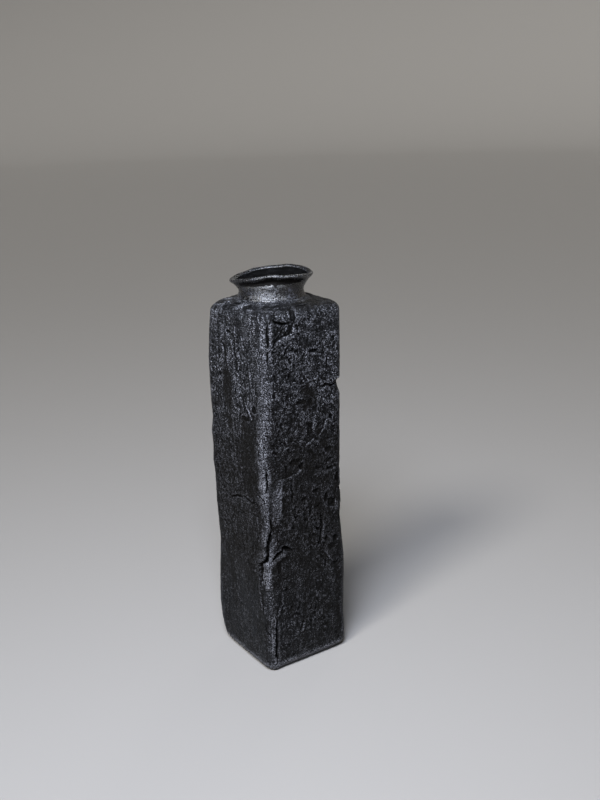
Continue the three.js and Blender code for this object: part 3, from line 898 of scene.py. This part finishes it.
crest = np.clip(-skin / 0.12, -1, 1)
# Painted shade: a band under the lip, strongest at the front, and the hollows of the tuck and of the
# flap are painted darker.
lip_shade = outside_part * (0.3 + 0.7 * front)
lip_shade = lip_shade * smooth(204.8, 206.8, up + 7 * skin) * smooth(209.3, 208.1, up + 4 * skin)
collar_dips = np.clip(crest * 0.6 + 0.9 * tuck + 0.9 * under_flap, -1, 1)
hidden_foot = np.zeros((len(under), AROUND))
marks = {
    "hollow": np.concatenate([collar_dips, hidden_foot]),
    "burnt_and_shade": np.concatenate([0.8 * lip_shade, hidden_foot]),
}
collar = clay_piece("neck_collar_thrown", loops, ring=True, marks=marks)
# Thrown black stoneware, rubbed with a rib: tight, semi-matt, with a broad cool sheen.
neck_clay = stoneware("black_stoneware_ribbed", "#010102", "#4a4c54", 0.25, 0.36, 1.0, 0.65)
# The throat is the same clay painted near black and matt: painted shade inside the mouth.
throat_shade_clay = stoneware("black_stoneware_throat_shade", "#030303", "#161617", 0.8, 0.3, 0.05)
# Under the lip at the front the clay is rougher and less glossy, and its marks paint it darker: painted
# shade under the overhang.
lip_shade_clay = stoneware("black_stoneware_lip_shade", "#010102", "#4a4c52", 0.46, 0.45, 0.14, 0.6)
for clay in (neck_clay, throat_shade_clay, lip_shade_clay):
    collar.data.materials.append(clay)
from_foot = np.repeat(ticks, AROUND)
collar_finish = np.zeros(len(collar.data.polygons), np.int32)
collar_finish[: len(from_foot)] = np.where(lip_shade.ravel() > 0.5, 2, from_foot > THROAT_FROM)
collar.data.polygons.foreach_set("material_index", collar_finish)
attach(collar, "root")
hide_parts("neck_collar")

# The coil, worked out over the shoulder and up the collar with a fingertip.
COIL_REACH = 6.4  # how far it spreads over the shoulder
COIL_CLIMB = 4.2  # how far it climbs up the collar
profile = np.linspace(0, 1, 34)[:, None]
ring_out = NECK_FOOT - 0.3 + (1 - profile) * COIL_REACH
ring_out = ring_out + 0.25 * np.sin(3 * turn + 0.5) * (1 - profile)
ring_up = SEAT_TOP - 0.5 + COIL_CLIMB * (1 - np.sqrt(1 - (0.985 * profile) ** 2)) + np.zeros(AROUND)
loops = np.stack([ring_out * np.cos(turn), ring_out * np.sin(turn), ring_up], axis=-1)
loops[..., 2] += (0.16 * lumps(loops, 4, 25) + 0.06 * lumps(loops, 1.4, 26)) * np.sin(profile * math.pi)
closing = np.stack([
    (NECK_FOOT - 0.6) * np.cos(turn), (NECK_FOOT - 0.6) * np.sin(turn), np.full(AROUND, SEAT_TOP - 0.4)
], axis=-1)
loops = np.concatenate([loops, closing[None]])
neck_coil = clay_piece("coil_neck_smoothed", loops, ring=True)
neck_coil.data.materials.append(shoulder_clay)
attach(neck_coil, "root")
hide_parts("coil_neck")

# ---- Studio --------------------------------------------------------------------------------
# A round sweep of pale paper that curves up into its own backdrop, a broad soft light from the
# left, a weaker one from behind on the right, a softbox above the camera that glints on the neck,
# and a weak even surround.

SWEEP, CURVE, WALL = 4.0, 1.3, 2.8  # radius of the flat, of the curve, and the backdrop's height
ROUND = 96  # points around the paper
bend = np.linspace(0, math.pi / 2, 20)
sweep_out = np.concatenate([[0.001, 1, 2, 3], SWEEP + CURVE * np.sin(bend), [SWEEP + CURVE]])
sweep_up = np.concatenate([[0, 0, 0, 0], CURVE * (1 - np.cos(bend)), [WALL]])
about = np.linspace(0, 2 * math.pi, ROUND, endpoint=False)
sweep_points = np.stack([
    sweep_out[:, None] * np.cos(about), sweep_out[:, None] * np.sin(about),
    sweep_up[:, None] * np.ones(ROUND),
], axis=-1)
index = np.arange(sweep_out.size * ROUND).reshape(-1, ROUND)
sweep_faces = np.stack([
    index[:-1], np.roll(index[:-1], -1, 1), np.roll(index[1:], -1, 1), index[1:]
], axis=-1).reshape(-1, 4)
floor_mesh = bpy.data.meshes.new("studio_floor")
floor_mesh.from_pydata(sweep_points.reshape(-1, 3).tolist(), [], sweep_faces[:, ::-1].tolist())
floor_mesh.shade_smooth()
studio_floor = bpy.data.objects.new("studio_floor", floor_mesh)
bpy.context.scene.collection.objects.link(studio_floor)
paper = bpy.data.materials.new("pale_paper")
paper.use_nodes = True
paper_surface = paper.node_tree.nodes["Principled BSDF"]
paper_surface.inputs["Base Color"].default_value = from_hex("#9b9894")
paper_surface.inputs["Roughness"].default_value = 0.9
paper_surface.inputs["Specular IOR Level"].default_value = 0.1
floor_mesh.materials.append(paper)


def towards(azimuth, elevation):
    """The direction from the vase to a place seen at that azimuth and elevation, in degrees."""
    side, up = math.radians(azimuth), math.radians(elevation)
    return Vector((math.sin(side) * math.cos(up), -math.cos(side) * math.cos(up), math.sin(up)))


LAMP_AWAY = 0.6  # from the neck, in metres


def lamp(name, kind, azimuth, elevation, power, tint="#ffffff"):
    """A light that shines on the vase from that azimuth and elevation."""
    light = bpy.data.lights.new(name, kind)
    light.energy = power
    light.color = from_hex(tint)[:3]
    holder = bpy.data.objects.new(name, light)
    holder.location = Vector((0, 0, 190 * MM)) + towards(azimuth, elevation) * LAMP_AWAY
    holder.rotation_euler = towards(azimuth, elevation).to_track_quat("Z", "Y").to_euler()
    bpy.context.scene.collection.objects.link(holder)
    return light


lamp("left_light", "SUN", -72, 42, 2.5).angle = math.radians(16)
lamp("back_light", "SUN", 122, 20, 1.3).angle = math.radians(24)
softbox = lamp("neck_softbox", "AREA", -44, 43, 8.0, "#e6eeff")
softbox.shape = "DISK"
softbox.size = 0.25
world = bpy.data.worlds.new("pale_surround")
world.use_nodes = True
world.node_tree.nodes["Background"].inputs["Color"].default_value = from_hex("#e4e3e1")
world.node_tree.nodes["Background"].inputs["Strength"].default_value = 0.12
bpy.context.scene.world = world
bpy.context.scene.view_settings.view_transform = "Standard"

# ---- Camera --------------------------------------------------------------------------------
# Held above the vase and looking down a little at its front left arris, leaning slightly.

view_back = towards(-36.11, 17.18)
upright = Vector((0, 0, 1))
right = (-view_back).cross(upright).normalized()
up = right.cross(-view_back)
tilt = math.radians(-1.69)
hand_right = right * math.cos(tilt) + up * math.sin(tilt)
hand_up = up * math.cos(tilt) - right * math.sin(tilt)
camera_data = bpy.data.cameras.new("camera")
camera_data.lens = 46.0
camera_data.sensor_width = 36.0
camera = bpy.data.objects.new("camera", camera_data)
looked_at = right * 0.0131 + upright * 0.1425
place = looked_at + view_back * 0.5413  # metres
turn_matrix = Matrix((hand_right, hand_up, view_back)).transposed().to_4x4()
camera.matrix_world = Matrix.Translation(place) @ turn_matrix
bpy.context.scene.collection.objects.link(camera)
bpy.context.scene.camera = camera
